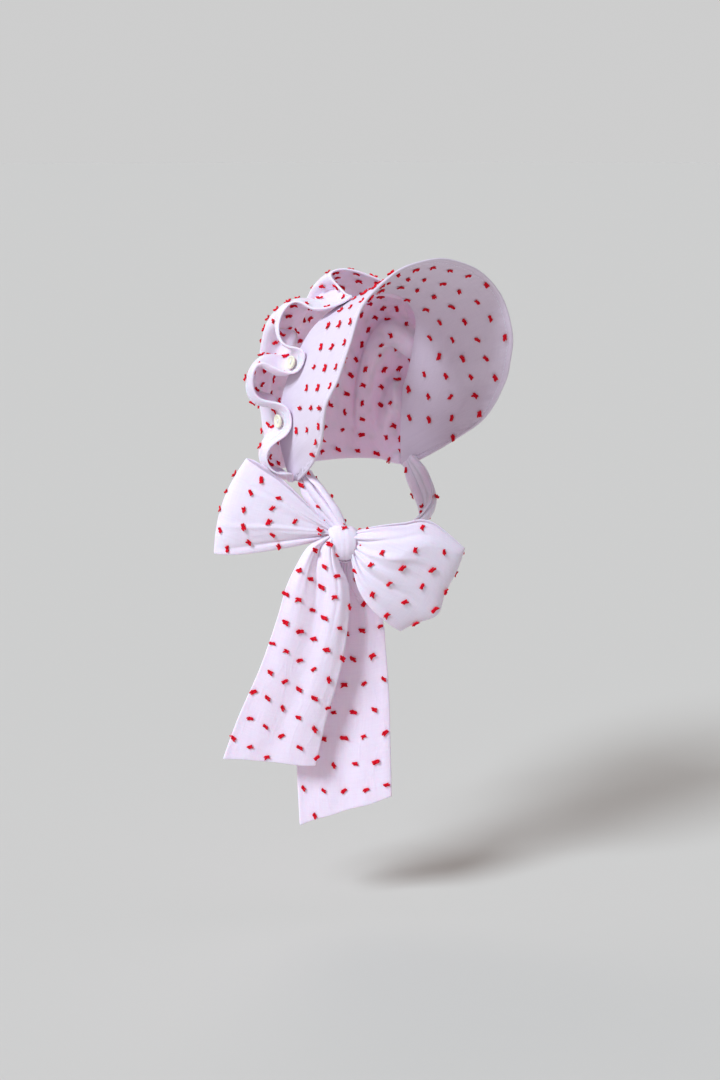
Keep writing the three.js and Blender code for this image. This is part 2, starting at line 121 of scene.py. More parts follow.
# Sections of a loop: share of its reach, its high edge out and up, its low edge out and up, and depth
LOOPS = {
    "bow_loop_rear": {
        "puff": 10,
        "rear_puff": 7,
        "round": 6,
        "corner": 0,
        "ridge": (0.45, 0.45),
        "crisp": 0,
        "rear_rise": 4,
        "rear_tuck": 4,
        "gathers": [(1.6, 0.1, 1.0), (2.7, 0.45, 0.9), (4.3, 0.2, 0.7)],
        "creases": [(0.2, 0.05, 0.03, 1.2), (0.45, 0.3, 0.03, -1.0), (0.7, 0.82, 0.03, 1.1)],
        "seed": 7,
        "sections": [
            (0, -7.5, 10.5, -7, 5, 3),
            (0.3, -24, 25.5, -26, 0.3, 4),
            (0.6, -43.5, 43.5, -51.5, -4.5, 5),
            (0.85, -60.5, 55, -78, -8, 5),
            (1, -69.5, 61, -93.5, -8, 5),
        ],
    },
    "bow_loop_front": {
        "puff": 12,
        "rear_puff": 5,
        "round": 8,
        "corner": 7,
        "ridge": (0.35, 0.95),
        "crisp": 1,
        "rear_rise": 2,
        "rear_tuck": 3,
        "gathers": [(1.4, 0.3, 1.4), (2.9, 0.15, 1.8), (4.6, 0.6, 1.4), (7.3, 0.25, 0.8)],
        "creases": [(0.75, 0.93, 0.03, 1.6), (0.55, 0.7, 0.035, -1.6), (0.35, 0.3, 0.03, 1.0)],
        "seed": 8,
        "sections": [
            (0, 7.5, 8, 6.5, -8, -2),
            (0.3, 23.5, 12, 11.5, -31, -3),
            (0.6, 44, 14, 20.5, -46, -2),
            (0.85, 65, 14, 34, -59, 1),
            (1, 89, -4.5, 43, -66, 4),
        ],
    },
}
# Sections of a tail: drop, its low and high edges, and depth
TAILS = {
    "bow_tail_rear": {
        "slant": -6,
        "creases": [(0.12, 0.05, -0.8, 0.4), (0.3, 0.04, -0.7, 0.5), (0.5, 0.04, 1.5, 0.45)]
        + [(0.66, 0.045, -0.7, 0.45), (0.8, 0.03, 1.2, 0.7)],
        "turned": 0.12,
        "turn_back": 3,
        "seed": 5,
        "cut_seed": 45,
        "sections": [
            (-6, -10.5, -6, -5.5),
            (-3, -17, -6, -6.5),
            (1, -24, -5.5, -8),
            (14, -32.5, -2.5, -10),
            (30, -40, 4, -10.5),
            (54, -47, 4, -10.5),
            (92, -60, -2, -9.5),
            (131, -76.5, -13, -8),
            (163.5, -88, -20.5, -6.5),
        ],
    },
    "bow_tail_front": {
        "slant": 22,
        "creases": [(0.55, 0.04, -1.8, 0.45), (0.72, 0.03, 1.6, 0.55), (0.86, 0.03, -1.2, 0.4)],
        "turned": 0.06,
        "turn_back": 1.5,
        "seed": 6,
        "cut_seed": 46,
        "sections": [
            (9, -4, 7, 7),
            (28, -11, 9, 8),
            (54, -21, 27, 11),
            (85, -29, 31.5, 11.5),
            (122, -33, 34, 10.5),
            (160, -34, 35, 9),
            (206, -32, 36, 7),
        ],
    },
}

# Straps from the jaw corners to the knot
CHIN = np.array([0.0, 5.0, -150.0])
STRAPS = {
    "strap_right": {
        "steps": 60,
        "end_half": 7.5,
        "path": [(-53.9, 17.5, -137), (-53.8, 11, -147), (-50.5, 0.5, -159), (-45.2, -9.2, -171.1)],
    },
    "strap_left": {
        "steps": 150,
        "end_half": 7,
        "path": [(54.2, 17.5, -137), (53, 4, -152), (44, -13, -165), (28, -25, -173)]
        + [(5, -31, -180), (-16, -25, -182.5), (-33.3, -11.2, -182)],
    },
}

# Clip dots: tufts of red yarn in a brick pattern
TUFT_LENGTH = 5.4
TUFT_WIDTH = 2.5
TUFT_HEIGHT = 1.8
TUFT_YARNS = 7
TUFT_SKEW = 1.1
TUFT_PINCH = (0.6, 0.95)
TUFT_OVAL = 1.05
TUFT_DOME = 1.6
YARN_RADIUS = 0.45
YARN_SHARES = (0.5, 1.1)
YARN_LOW = 0.45
YARN_CURVE = 0.9
YARN_SPREAD = 1.15
YARN_STRAY = 0.5
YARN_WOBBLE = 0.2
YARN_PLACES = (-1, -0.86, -0.5, 0, 0.5, 0.86, 1)
YARN_GIRTHS = (0.3, 0.95, 1.15, 1.05, 1.15, 0.95, 0.3)
DOT_SLIP = 0.8
DOT_TURN = 0.6
DOT_SIZES = (0.85, 1.15)
LEAST_DOT_SPACE = 10.5
LEAST_TIE_DOT_SPACE = 6.5
TIGHTEST_BEND = 7
FURTHEST_STEP = 1.2
SMALLEST_CELL = 1e-6

# Stitching
STITCH_LENGTH = 2.2
STITCH_PITCH = 2.9
STITCH_FLAT = 0.7
STITCH_RISE = 0.08
STITCH_SINK = 0.15
STITCH_GIRTHS = (0.6, 1, 1, 0.6)
THREAD_RADIUS = 0.22
ROUND_SIDES = 5
# No yarn or thread runs along this way
TUBE_SIDE = (0.0, 0.31, 0.95)

# Lengths of the waves in uneven cloth
RIPPLE_WAVES = (70, 43, 29, 19)


def smooth_between(stops, values, at):
    """Read values between their stops, on a smooth curve through them."""
    stops = np.asarray(stops, float)
    values = np.asarray(values, float)
    last = len(stops) - 1
    at = np.clip(at, stops[0], stops[-1])
    row = np.clip(np.searchsorted(stops, at) - 1, 0, last - 1)
    before = np.maximum(np.arange(last + 1) - 1, 0)
    after = np.minimum(np.arange(last + 1) + 1, last)
    run = (stops[after] - stops[before]).reshape((-1,) + (1,) * (values.ndim - 1))
    slopes = (values[after] - values[before]) / run
    span = stops[row + 1] - stops[row]
    s = (at - stops[row]) / span

    def pick(table, index):
        if table.ndim == 1:
            return table[index]
        return np.take_along_axis(table, index[None, ..., None], axis=0)[0]

    if values.ndim > 1:
        s = s[..., None]
        span = span[..., None]
    rise = s * s * (3 - 2 * s)
    start = pick(values, row) * (1 - rise) + pick(slopes, row) * span * s * (1 - s) ** 2
    return start + pick(values, row + 1) * rise + pick(slopes, row + 1) * span * s * s * (s - 1)


def read_columns(rows, at):
    """Each later column's values at places in the first, between the rows."""
    stops, *columns = np.array(rows, float).T
    return [smooth_between(stops, values, at) for values in columns]


def stacked(*parts):
    """Values side by side in a last axis."""
    return np.stack(parts, axis=-1)


def mix(start, end, share):
    return start + (end - start) * share


def unit(vectors):
    return vectors / np.maximum(np.linalg.norm(vectors, axis=-1, keepdims=True), 1e-9)


def bump_at(distance, middle, width):
    return np.exp(-(((distance - middle) / width) ** 2))


def ramp(value, reach):
    """From 0 to 1 over a reach, and 1 past it."""
    return np.clip(value / reach, 0, 1)


def ripple(a, b, seed):
    """A soft, uneven wave from -1 to 1 over two lengths in millimetres."""
    draw = np.random.default_rng(seed)
    total = 0
    for wave in RIPPLE_WAVES:
        turn = draw.uniform(0, 2 * math.pi)
        shift = draw.uniform(0, 2 * math.pi)
        reach = a * math.cos(turn) + b * math.sin(turn)
        total += np.sin(2 * math.pi * reach / wave + shift) * wave / sum(RIPPLE_WAVES)
    return total


def grid_normals(points):
    across = np.gradient(points, axis=0)
    along = np.gradient(points, axis=1)
    return unit(np.cross(across, along))


# Brim and crown surfaces

RIGHT_ARCH = np.array(BRIM_SECTIONS, float) * [1, -1, 1, 1, -1, 1, 1]
LEFT_ARCH = (RIGHT_ARCH[:-1] * [1, -1, 1, 1, -1, 1, 1])[::-1]
LEFT_ARCH[:, 0] = 2 - LEFT_ARCH[:, 0]
ARCH = np.vstack([RIGHT_ARCH, LEFT_ARCH])
JAW_HALF, JAW_Y, JAW_Z = BRIM_SECTIONS[0][1:4]


def brim_point(arch, depth):
    """The brim's middle surface, from its back edge (0) to its front edge (1)."""
    back_x, back_y, back_z, front_x, front_y, front_z = read_columns(ARCH, arch)
    flare = depth**FLARE_POWER
    return stacked(mix(back_x, front_x, flare), mix(back_y, front_y, depth), mix(back_z, front_z, flare))


def brim_depth(arch):
    """The brim's depth in millimetres, from its back edge to its front edge."""
    return np.linalg.norm(brim_point(arch, arch * 0) - brim_point(arch, arch * 0 + 1), axis=-1)


def way_along_arch(surface, arch, depth):
    after = surface(np.minimum(arch + SLOPE_STEP, 2), depth)
    return after - surface(np.maximum(arch - SLOPE_STEP, 0), depth)


def outward(surface, arch, depth):
    """The way out from the hollow at a point of a surface on arch and depth."""
    across = way_along_arch(surface, arch, depth)
    deeper = surface(arch, np.minimum(depth + SLOPE_STEP, 1))
    along = deeper - surface(arch, np.maximum(depth - SLOPE_STEP, 0))
    normal = unit(np.cross(across, along))
    inside = np.sum(normal * (surface(arch, depth) - HOLLOW_MIDDLE), axis=-1, keepdims=True) < 0
    return np.where(inside, -normal, normal)


def on_brim(arch, reach):
    """The crown's rest on the brim, a distance in front of the brim's back edge."""
    depth = np.minimum(reach / brim_depth(arch), LARGEST_LAP)
    stand = CAD_BRIM_CLOTH / 2 + SEAT_GAP + CAD_CROWN_CLOTH / 2
    return brim_point(arch, depth) + outward(brim_point, arch, depth) * stand


def rib_point(rib, arch):
    depth, crest_y, crest_z, half, bow = rib
    along = np.where(arch <= 1, arch, 2 - arch)
    start = math.acos(JAW_HALF / half)
    angle = -start + along * (math.pi / 2 + start)
    rise = (np.sin(angle) + math.sin(start)) / (1 + math.sin(start))
    x = np.sign(arch - 1) * half * np.cos(angle)
    y = mix(JAW_Y + CORNER_HEM * depth, crest_y, rise) + 4 * bow * rise * (1 - rise)
    return stacked(x, y, mix(JAW_Z, crest_z, rise))


def crown_base(arch, depth):
    """The crown without its flutes, from its front edge (0) to the hem at the nape (1)."""
    lap = mix(LAP_AT_TOP, LAP_AT_JAW, np.abs(arch - 1))
    stops = [0, SEAM_DEPTH] + [rib[0] for rib in CROWN_RIBS]
    points = [on_brim(arch, lap), on_brim(arch, arch * 0)] + [rib_point(rib, arch) for rib in CROWN_RIBS]
    return smooth_between(stops, np.stack(points), depth)


def crown_point(flute, phase, depth):
    """The fluted crown, in one flute from its first dip (0) to its second (1)."""
    start, end, height, lean, skew, belly, fade, puff, sag = flute
    arch = mix(start, end, phase)
    crest = np.sin(math.pi * phase) ** 2
    fading = (1 - depth) ** fade
    behind = depth / PUFF_DEPTH * np.exp(1 - depth / PUFF_DEPTH)
    lean_back = lean / CROWN_DEPTH * crest * (1 - depth) ** 2
    at = np.minimum(depth + lean_back, 1)
    point = crown_base(arch, at)
    along = way_along_arch(crown_base, arch, at)
    swell = belly * np.sin(4 * math.pi * phase) + skew * crest
    standing = height * crest * (fading + puff * behind)
    sideways = swell * fading + sag * crest * behind
    return point + unit(point - HOLLOW_MIDDLE) * standing[..., None] + unit(along) * sideways[..., None]


# Meshes


def new_object(name, data):
    made = bpy.data.objects.new(name, data)
    bpy.context.scene.collection.objects.link(made)
    return made


def new_piece(name, points, faces, material, slot="dotted_cotton", places=None):
    """Make an object from points in millimetres, and let it ride with the bonnet."""
    mesh = bpy.data.meshes.new(name)
    mesh.from_pydata(np.asarray(points) * METRE, [], faces)
    mesh.shade_smooth()
    if places is not None:
        corner = np.empty(len(mesh.loops), np.int32)
        mesh.loops.foreach_get("vertex_index", corner)
        layer = mesh.uv_layers.new(name="cloth")
        layer.uv.foreach_set("vector", places[corner].astype(np.float32).ravel())
    mesh.materials.append(material)
    piece = new_object(name, mesh)
    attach(piece, "root")
    return piece


def edge_round(columns, rows):
    """The grid places round the edge of a sheet, in order, with the place inside each."""
    ring = [(i, 0) for i in range(columns)]
    ring += [(columns - 1, j) for j in range(1, rows)]
    ring += [(i, rows - 1) for i in range(columns - 2, -1, -1)]
    ring += [(0, j) for j in range(rows - 2, 0, -1)]
    ring = np.array(ring)
    return ring, np.clip(ring, 1, [columns - 2, rows - 2])


def cloth_piece(name, middle, thickness, places, material):
    """Close a grid on a cloth's middle surface into a wall with round edges, in place of a CAD node."""
    columns, rows = middle.shape[:2]
    normal = grid_normals(middle)
    half = np.broadcast_to(thickness, (columns, rows))[..., None] / 2
    index = np.arange(columns * rows).reshape(columns, rows)
    front = stacked(index[:-1, :-1], index[1:, :-1], index[1:, 1:], index[:-1, 1:]).reshape(-1, 4)
    rear = front[:, ::-1] + columns * rows
    ring, inner = edge_round(columns, rows)
    edge = tuple(ring.T)
    away = unit(middle[edge] - middle[tuple(inner.T)])
    points = [(middle + normal * half).reshape(-1, 3), (middle - normal * half).reshape(-1, 3)]
    flat = places.reshape(-1, 2)
    all_places = [flat, flat]
    rings = [index[edge]]
    for turn in ROUND_EDGE:
        angle = math.pi * turn
        out = away * math.sin(angle) + normal[edge] * math.cos(angle)
        rings.append(np.arange(len(ring)) + sum(len(p) for p in points))
        points.append(middle[edge] + out * half[edge])
        all_places.append(places[edge])
    rings.append(index[edge] + columns * rows)
    faces = [front, rear]
    for one, two in zip(rings, rings[1:]):
        faces.append(stacked(np.roll(one, -1), one, two, np.roll(two, -1)))
    all_places = np.vstack(all_places)
    piece = new_piece(f"{name}_cloth", np.vstack(points), np.vstack(faces), material, places=all_places)
    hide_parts(name)
    return piece


def joined(shapes):
    """Points and faces of several shapes as one."""
    starts = np.cumsum([0] + [len(points) for points, faces in shapes])
    faces = [sides + start for (points, sides), start in zip(shapes, starts)]
    return np.vstack([points for points, sides in shapes]), np.vstack(faces)


def joined_copies(templates, choice, centres, frames):
    """Points and faces of many small shapes, each turned by its own frame."""
    copies = []
    for number, (shape, sides) in enumerate(templates):
        for k in np.flatnonzero(choice == number):
            copies.append((np.einsum("vk,kd->vd", shape, frames[k]) + centres[k], sides))
    return joined(copies)


def ring_faces(rings, sides):
    """Quads between rings of points, each ring joined to the next."""
    ring, turn = np.meshgrid(np.arange(rings - 1), np.arange(sides), indexing="ij")
    low = ring * sides
    high = low + sides
    after = (turn + 1) % sides
    return stacked(low + turn, low + after, high + after, high + turn).reshape(-1, 4)


def tube(path, radii, sides):
    """Points and quads of a closed tube along a path, with its ends drawn to a narrow ring."""
    path = np.asarray(path, float)
    way = unit(np.gradient(path, axis=0))
    side = unit(np.cross(way, TUBE_SIDE))
    up = np.cross(side, way)
    rings = []
    for k in range(len(path)):
        for turn in range(sides):
            angle = 2 * math.pi * turn / sides
            rings.append(path[k] + radii[k] * (math.cos(angle) * side[k] + math.sin(angle) * up[k]))
    return np.array(rings), ring_faces(len(path), sides)


def tuft_shape(seed):
    """A clip dot: short yarns pinched down in the middle, with their cut ends standing up."""
    draw = np.random.default_rng(seed)
    skew = draw.uniform(-TUFT_SKEW, TUFT_SKEW)
    pinch = draw.uniform(*TUFT_PINCH)
    radii = YARN_RADIUS * np.array(YARN_GIRTHS)
    yarns = []
    for yarn in range(TUFT_YARNS):
        place = (yarn + 0.5) / TUFT_YARNS - 0.5
        ends = TUFT_LENGTH / 2 * draw.uniform(*YARN_SHARES, 2) * (TUFT_OVAL - place * place)
        rise = TUFT_HEIGHT * draw.uniform(*YARN_SHARES) * (1 - TUFT_DOME * place * place)
        stray = draw.uniform(-YARN_STRAY, YARN_STRAY)
        path = []
        for t in YARN_PLACES:
            lift = mix(YARN_LOW, rise, abs(t) ** YARN_CURVE)
            spread = place * TUFT_WIDTH * mix(pinch, YARN_SPREAD, abs(t)) + (skew + stray) * t
            path.append((ends[int(t > 0)] * t, spread + draw.uniform(-YARN_WOBBLE, YARN_WOBBLE), lift))
        yarns.append(tube(path, radii, ROUND_SIDES))
    return joined(yarns)


def stitch_shape():
    half = [(STITCH_FLAT, 0, STITCH_RISE), (STITCH_LENGTH / 2, 0, -STITCH_SINK)]
    path = [(-x, y, z) for x, y, z in half[::-1]] + half
    return tube(path, THREAD_RADIUS * np.array(STITCH_GIRTHS), ROUND_SIDES)


def lengths_along(points, start):
    """Distance along each row of points, from the start column."""
    steps = np.linalg.norm(np.diff(points, axis=0), axis=-1)
    total = np.concatenate([np.zeros_like(steps[:1]), np.cumsum(steps, axis=0)])
    return total - total[start]


def places_between(low, high, first, gap):
    return range(math.ceil((low - first) / gap), math.floor((high - first) / gap) + 1)


def dots_on(name, middle, places, half, side, lattice, seed, keep=True):
    """Tufts in a brick pattern on one face of a cloth, by each grid point's place on the flat cloth."""
    normal = grid_normals(middle) * side
    steps = [np.gradient(places, axis=k) for k in (0, 1)]
    edges = [np.gradient(middle, axis=k) for k in (0, 1)]
    bends = [np.sum(np.gradient(edges[k], axis=k) * normal, -1) / np.sum(edges[k] ** 2, -1) for k in (0, 1)]
    keep = keep & ~(np.maximum(*bends) > 1 / TIGHTEST_BEND)
    least = lattice.get("least", LEAST_DOT_SPACE)
    draw = np.random.default_rng(seed)
    low = places.min(axis=(0, 1))
    high = places.max(axis=(0, 1))
    gap = lattice["dot_gap"]
    row_gap = lattice["row_gap"]
    centres = []
    frames = []
    for row in places_between(low[1], high[1], lattice["row"], row_gap):
        offset = lattice["dot"] + (gap / 2 if row % 2 else 0)
        for dot in places_between(low[0], high[0], offset, gap):
            slip = draw.uniform(-DOT_SLIP, DOT_SLIP, 2)
            turn = lattice.get("turn", 0) + draw.uniform(-DOT_TURN, DOT_TURN)
            size = draw.uniform(*DOT_SIZES)
            want = [offset + dot * gap, lattice["row"] + row * row_gap] + slip
            nearest = np.argmin(np.sum((places - want) ** 2, axis=-1))
            i, j = np.unravel_index(nearest, places.shape[:2])
            across = stacked(steps[0][i, j], steps[1][i, j])
            if abs(np.linalg.det(across)) < SMALLEST_CELL:
                continue
            shift = np.linalg.solve(across, want - places[i, j])
            if np.abs(shift).max() > FURTHEST_STEP or not keep[i, j]:
                continue
            centre = middle[i, j] + edges[0][i, j] * shift[0] + edges[1][i, j] * shift[1]
            if any(np.sum((centre - other) ** 2) < least**2 for other in centres):
                continue
            facing = normal[i, j]
            run = np.linalg.solve(across, [1.0, 0.0])
            lengthwise = edges[0][i, j] * run[0] + edges[1][i, j] * run[1]
            sideways = unit(np.cross(facing, lengthwise))
            lengthwise = np.cross(sideways, facing)
            x = (lengthwise * math.cos(turn) + sideways * math.sin(turn)) * size
            y = (sideways * math.cos(turn) - lengthwise * math.sin(turn)) * size
            centres.append(centre)
            frames.append([x, y, facing * size])
    lift = [centre + turned[2] * half for centre, turned in zip(centres, frames)]
    choice = draw.integers(0, len(TUFTS), len(centres))
    return new_piece(name, *joined_copies(TUFTS, choice, lift, frames), YARN)


def stitches_on(name, lines):
    """Stitches along lines of points, each line with the way its face looks."""
    centres = []
    frames = []
    for line, facing in lines:
        along = lengths_along(line, 0)
        places = np.arange(STITCH_PITCH, along[-1] - STITCH_PITCH / 2, STITCH_PITCH)
        column = np.interp(places, along, np.arange(len(along)))
        way = unit(np.gradient(line, axis=0))
        for c in column:
            i = min(int(c), len(line) - 2)
            up = unit(mix(facing[i], facing[i + 1], c - i))
            x = unit(way[i] - up * np.dot(way[i], up))
            centres.append(mix(line[i], line[i + 1], c - i))
            frames.append([x, np.cross(up, x), up])
    choice = np.zeros(len(centres), int)
    return new_piece(name, *joined_copies([stitch_shape()], choice, centres, frames), THREAD)


# Materials


def linear(colour):
    """An sRGB hex colour as linear values."""
    parts = [int(colour[i : i + 2], 16) / 255 for i in (1, 3, 5)]
    return tuple(p / 12.92 if p <= 0.04045 else ((p + 0.055) / 1.055) ** 2.4 for p in parts) + (1.0,)


def set_inputs(tree, node, inputs):
    """Give a node's inputs their values, or link them to other nodes or their outputs."""
    for name, value in inputs.items():
        if isinstance(value, bpy.types.Node):
            value = value.outputs[0]
        if isinstance(value, bpy.types.NodeSocket):
            tree.links.new(value, node.inputs[name])
        else:
            node.inputs[name].default_value = value


def add_node(tree, kind, settings, inputs):
    """Add a shader node with its settings and inputs."""
    node = tree.nodes.new("ShaderNode" + kind)
    for name, value in settings.items():
        setattr(node, name, value)
    set_inputs(tree, node, inputs)
    return node


MULTIPLY = {"operation": "MULTIPLY"}
ADD = {"operation": "ADD"}
TWO_TONES = {"data_type": "RGBA"}
SMOOTH = {"interpolation_type": "SMOOTHSTEP"}


def new_material(name):
    material = bpy.data.materials.new(name)
    material.use_nodes = True
    return material, material.node_tree, material.node_tree.nodes["Principled BSDF"]


# Cotton lawn, woven from fine yarns, slightly uneven: matt, with a faint grid of slubs along both threads.
# The real threads are about 0.3 mm apart, too fine to show, so the grid is drawn at THREAD_DRAWN mm.
THREAD_DRAWN = 1.3
THREAD_SHARE = 0.12
SLUB_LENGTH = 18
SLUB_WIDTH = 0.9
LEAST_SLUB = 0.6
MOST_SLUB = 1.4
CRUMPLE = 11
CREASE_LENGTH = 48
CREASE_WIDTH = 13
CREASE_SHARP = 0.07
CREASE_RISE = 0.22
CRUMPLE_DEPTH = 1.2
WEAVE_DEPTH = 0.3
WEAVE_STRENGTH = 0.16
LIGHT_REACH = (1.0, 0.55, 0.66)


def cotton_lawn(name, light, shade, creased, through, scatter):
    material, tree, shader = new_material(name)
    place = add_node(tree, "UVMap", {"uv_map": "cloth"}, {})
    split = add_node(tree, "SeparateXYZ", {}, {0: place})
    waves = []
    slubs = []
    for axis in (0, 1):
        turns = {0: split.outputs[axis], 1: 2 * math.pi / THREAD_DRAWN}
        turned = add_node(tree, "Math", MULTIPLY, turns)
        waves.append(add_node(tree, "Math", {"operation": "SINE"}, {0: turned}))
        stretch = [1 / SLUB_WIDTH, 1 / SLUB_WIDTH, 1]
        stretch[axis] = 1 / SLUB_LENGTH
        drawn = add_node(tree, "VectorMath", MULTIPLY, {0: place, 1: stretch})
        slubs.append(add_node(tree, "TexNoise", {}, {"Vector": drawn, "Scale": 1.0, "Detail": 2.0}))
    weave = add_node(tree, "Math", MULTIPLY, {0: waves[0], 1: waves[1]})
    slub = add_node(tree, "Math", ADD, {0: slubs[0], 1: slubs[1]})
    tone = add_node(tree, "MapRange", {}, {"Value": slub, "From Min": LEAST_SLUB, "From Max": MOST_SLUB})
    tones = {"Factor": tone, "A": linear(shade), "B": linear(light)}
    colour = add_node(tree, "Mix", TWO_TONES, tones)
    height = add_node(tree, "Math", {"operation": "MULTIPLY_ADD"}, {0: weave, 1: THREAD_SHARE, 2: slub})
    rumples = {"Vector": place, "Scale": 1 / CRUMPLE, "Detail": 3.0, "Distortion": 0.6}
    crumpled = add_node(tree, "TexNoise", {}, rumples)
    stretch = [1 / CREASE_WIDTH, 1 / CREASE_LENGTH, 1]
    drawn = add_node(tree, "VectorMath", MULTIPLY, {0: place, 1: stretch})
    long_spots = {"Vector": drawn, "Scale": 1.0, "Detail": 1.0, "Distortion": 0.5}
    lines = add_node(tree, "TexNoise", {}, long_spots)
    middle = add_node(tree, "Math", {"operation": "SUBTRACT"}, {0: lines, 1: 0.5})
    fold = add_node(tree, "Math", {"operation": "ABSOLUTE"}, {0: middle})
    ridge = {"Value": fold, "From Max": CREASE_SHARP, "To Min": CREASE_RISE, "To Max": 0.0}
    sharp = add_node(tree, "MapRange", SMOOTH, ridge)
    creases = add_node(tree, "Math", ADD, {0: crumpled, 1: sharp})
    pressed = {"Strength": creased, "Distance": CRUMPLE_DEPTH * METRE, "Height": creases}
    crumple = add_node(tree, "Bump", {}, pressed)
    woven = {"Strength": WEAVE_STRENGTH, "Distance": WEAVE_DEPTH * METRE, "Height": height, "Normal": crumple}
    looks = {
        "Base Color": colour.outputs["Result"],
        "Normal": add_node(tree, "Bump", {}, woven),
        "Roughness": 0.85,
        "IOR": 1.5,
        "Specular IOR Level": 0.25,
        "Sheen Weight": 0.15,
        "Sheen Roughness": 0.6,
        "Subsurface Weight": through,
        "Subsurface Radius": LIGHT_REACH,
        "Subsurface Scale": scatter * METRE,
    }
    set_inputs(tree, shader, looks)
    return material


def mottled(name, grains, detail, dark, light, looks, relief=None):
    """A material in two close tones. Grains are counted to the metre, relief is a strength and a depth."""
    material, tree, shader = new_material(name)
    place = add_node(tree, "TexCoord", {}, {})
    spots = {"Vector": place.outputs["Object"], "Scale": grains, "Detail": detail}
    grain = add_node(tree, "TexNoise", {}, spots)
    tones = {"Factor": grain, "A": linear(dark), "B": linear(light)}
    colour = add_node(tree, "Mix", TWO_TONES, tones)
    set_inputs(tree, shader, looks | {"Base Color": colour.outputs["Result"]})
    if relief is not None:
        rough = {"Strength": relief[0], "Distance": relief[1] * METRE, "Height": grain}
        set_inputs(tree, shader, {"Normal": add_node(tree, "Bump", {}, rough)})
    return material


# One cloth, lightest in the ties. The brim's copy is darker only as painted shade over the whole brim, not as
# a different cloth; its interlining lets no light through.
# The crown's copy is a little darker than the ties', as painted shade that tones down its brightly lit
# flutes.
CROWN_SHADED_COTTON = cotton_lawn("crown_painted_shade_cotton_lawn", "#EBDCEC", "#E5D5E7", 0.2, 0.8, 4.0)
TIE_COTTON = cotton_lawn("tie_cotton_lawn", "#F2E3F3", "#ECDCEE", 0.25, 0.5, 2.0)
INTERLINED_SHADED_COTTON = cotton_lawn("interlined_painted_shade_cotton_lawn", "#E4D5E5", "#DECEE0", 0.15, 0.0, 1.0)

# Red cotton tuft yarn, soft spun and cut: matt, with darker and lighter fibres in clumps of about 1.1 mm.
FIBRE_LOOKS = {"Roughness": 0.85, "Specular IOR Level": 0.1, "Sheen Weight": 0.05}
YARN = mottled("red_cotton_tuft", 900.0, 3.0, "#BA061C", "#FA1631", FIBRE_LOOKS, (0.5, 0.3))

# White cotton sewing thread: a little brighter than the cloth, with a twist about every 0.7 mm.
THREAD_LOOKS = {"Roughness": 0.6, "Sheen Weight": 0.2}
THREAD = mottled("white_sewing_thread", 1500.0, 1.0, "#E2DAEE", "#FBF8FF", THREAD_LOOKS)

# Cream polyester shirt button, cast and tumbled: smooth, with a dull shine and faint clouds about 4 mm wide.
RESIN_LOOKS = {"Roughness": 0.42, "IOR": 1.55, "Coat Weight": 0.08}
RESIN = mottled("cream_button_resin", 260.0, 2.0, "#E6DFC4", "#F2EDDA", RESIN_LOOKS)

TUFT_SEEDS = (3, 8, 21, 34, 55, 89)
TUFTS = [tuft_shape(seed) for seed in TUFT_SEEDS]

# Brim: two layers over a stiff interlining, with a stitched front edge

BRIM_ARCH_STEPS = 340
BRIM_BACK_ROWS = 26
EDGE_ROWS = np.array([0, 0.5, 1.1, 1.8, 2.4, 2.9, 3.4, 3.9, 4.6, 5.6, 7])
EDGE_ROOM = 14
LEAST_BRIM = 7.5
STITCH_FROM_EDGE = 3.2
PUCKER_SPACE = 9
PUCKER_HEIGHT = 0.28
PUCKER_SLANT = 0.6
PUCKER_FROM_EDGE = 7
PUCKER_REACH = 4
BRIM_RIPPLE = 0.5
# Size, place and width of the rolled edge and of the dip along the stitches
BRIM_ROLL = (0.5, 0.8, 1.6)
BRIM_DIP = (0.45, STITCH_FROM_EDGE, 0.6)


def edge_wall(cloth, from_edge, roll, dip):
    return cloth + roll[0] * bump_at(from_edge, *roll[1:]) - dip[0] * bump_at(from_edge, *dip[1:])


def brim_grid():
    arch = np.linspace(0, 2, BRIM_ARCH_STEPS + 1)
    length = brim_depth(arch)
    near = EDGE_ROWS[:, None] * np.minimum(1, length / EDGE_ROOM)
    rest = np.linspace(0, 1, BRIM_BACK_ROWS + 1)[1:, None]
    from_edge = np.vstack([near, mix(near[-1], np.maximum(length, LEAST_BRIM), rest)])
    depth = np.clip(1 - from_edge / length, 0, 1).T
    arches = np.broadcast_to(arch[:, None], depth.shape)
    middle = brim_point(arches.ravel(), depth.ravel()).reshape(depth.shape + (3,))
    return arch, middle, from_edge.T


brim_arch, brim_middle, brim_from_edge = brim_grid()
brim_across = lengths_along(brim_middle, BRIM_ARCH_STEPS // 2)
brim_places = stacked(brim_across, brim_from_edge)
brim_normal = grid_normals(brim_middle)
pucker_turn = (brim_across + PUCKER_SLANT * brim_from_edge) / PUCKER_SPACE + ripple(brim_across, 0, seed=9)
pucker_fade = bump_at(brim_from_edge, PUCKER_FROM_EDGE, PUCKER_REACH)
pucker = PUCKER_HEIGHT * np.sin(2 * math.pi * pucker_turn) * pucker_fade
brim_relief = BRIM_RIPPLE * ripple(brim_across, brim_from_edge, seed=4) + pucker
brim_middle = brim_middle + brim_normal * brim_relief[..., None]
brim_wall = edge_wall(BRIM_CLOTH, brim_from_edge, BRIM_ROLL, BRIM_DIP)
brim = cloth_piece("brim", brim_middle, brim_wall, brim_places, INTERLINED_SHADED_COTTON)

# Crown: a two-layer hood with a rolled, stitched front edge, buttoned down in its dips

FLUTE_STEPS = 44
CROWN_EDGE_ROWS = np.array([0, 0.6, 1.2, 1.9, 2.6, 3.3, 3.9, 4.4, 4.9, 5.5, 6.3, 7.5, 9, 10.7, 12.5])
CROWN_BACK_ROWS = 62
CROWN_STITCH = 4.4
CROWN_ROLL = (0.25, 0.4, 1.7)
CROWN_DIP = (0.3, CROWN_STITCH, 0.7)


